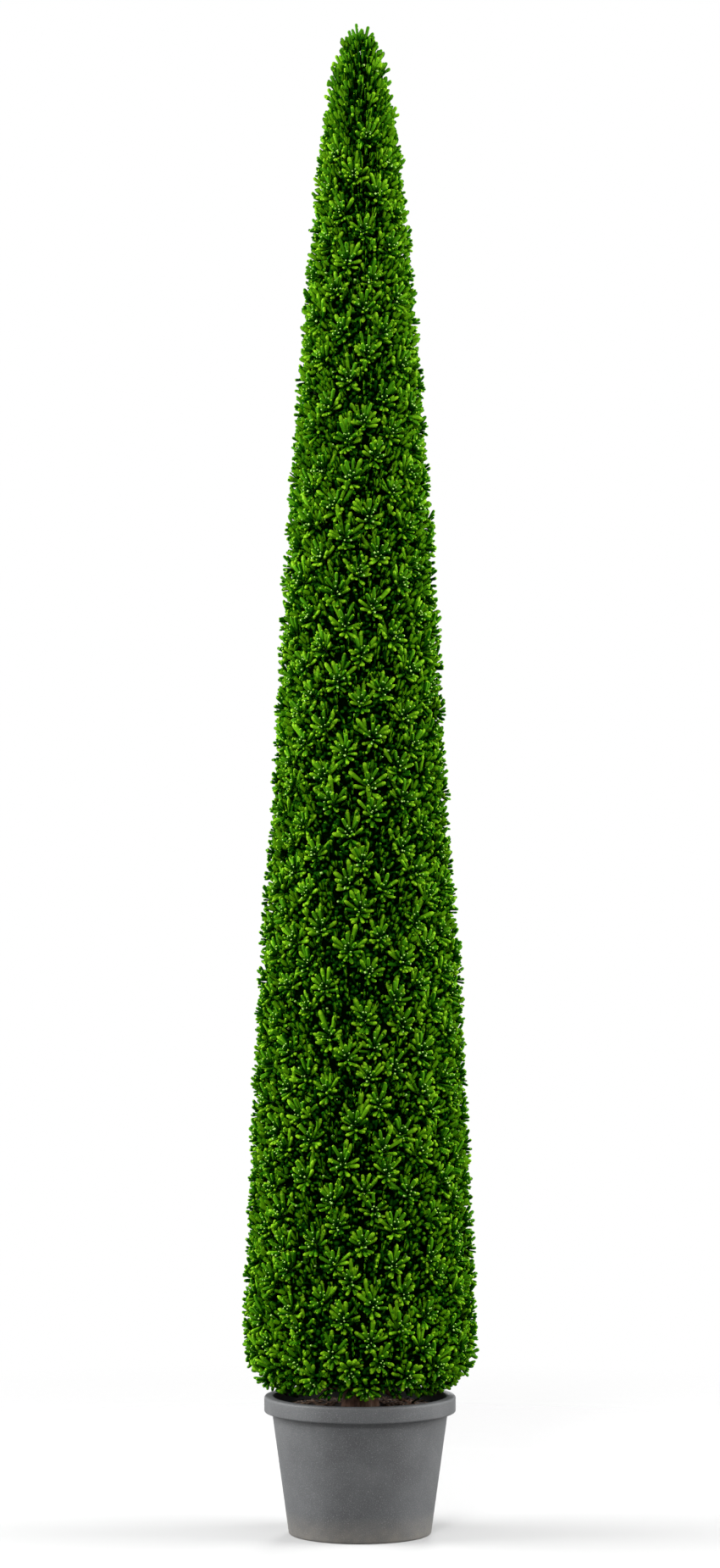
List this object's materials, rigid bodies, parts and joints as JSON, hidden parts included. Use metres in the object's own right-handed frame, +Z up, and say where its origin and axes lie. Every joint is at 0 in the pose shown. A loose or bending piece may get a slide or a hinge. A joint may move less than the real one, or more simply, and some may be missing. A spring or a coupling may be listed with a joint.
{
  "type": "potted arborvitae",
  "caption": "Tall, narrow, dense evergreen obelisk on a single trunk in a plain round pot, with foliage in named masses.",
  "frame": {"origin": "middle of the pot's flat underside, on the ground", "axes": "+Z up along the trunk, -Y towards the viewer of the picture, +X to that viewer's right; the plant is much the same all round"},
  "size_m": [0.7729, 0.7772, 5.044],
  "materials": {
    "pot": "matt dark grey fibre clay with a fine sandy grain",
    "soil": "moist dark potting mix with bark crumbs",
    "bark": "red-brown fibrous bark in long vertical strips",
    "foliage": "fresh green scale foliage with a soft waxy sheen and yellow-green tips"
  },
  "bodies": {
    "root": {"pot": "pot", "soil": "soil", "trunk": "bark", "foliage_tier1_a": "foliage", "foliage_tier1_b": "foliage", "foliage_tier1_c": "foliage", "foliage_tier1_d": "foliage", "foliage_tier2_a": "foliage", "foliage_tier2_b": "foliage", "foliage_tier2_c": "foliage", "foliage_tier2_d": "foliage", "foliage_tier3_a": "foliage", "foliage_tier3_b": "foliage", "foliage_tier3_c": "foliage", "foliage_tier3_d": "foliage", "foliage_tier4_a": "foliage", "foliage_tier4_b": "foliage", "foliage_tier4_c": "foliage", "foliage_tier4_d": "foliage", "foliage_tier5_a": "foliage", "foliage_tier5_b": "foliage", "foliage_tier5_c": "foliage", "foliage_tier6_a": "foliage", "foliage_tier6_b": "foliage", "foliage_tier6_c": "foliage", "foliage_tier7_a": "foliage", "foliage_tier7_b": "foliage", "foliage_tier7_c": "foliage", "foliage_tier8_a": "foliage", "foliage_tier8_b": "foliage", "foliage_tier8_c": "foliage", "foliage_leader": "foliage"}
  },
  "joints": []
}
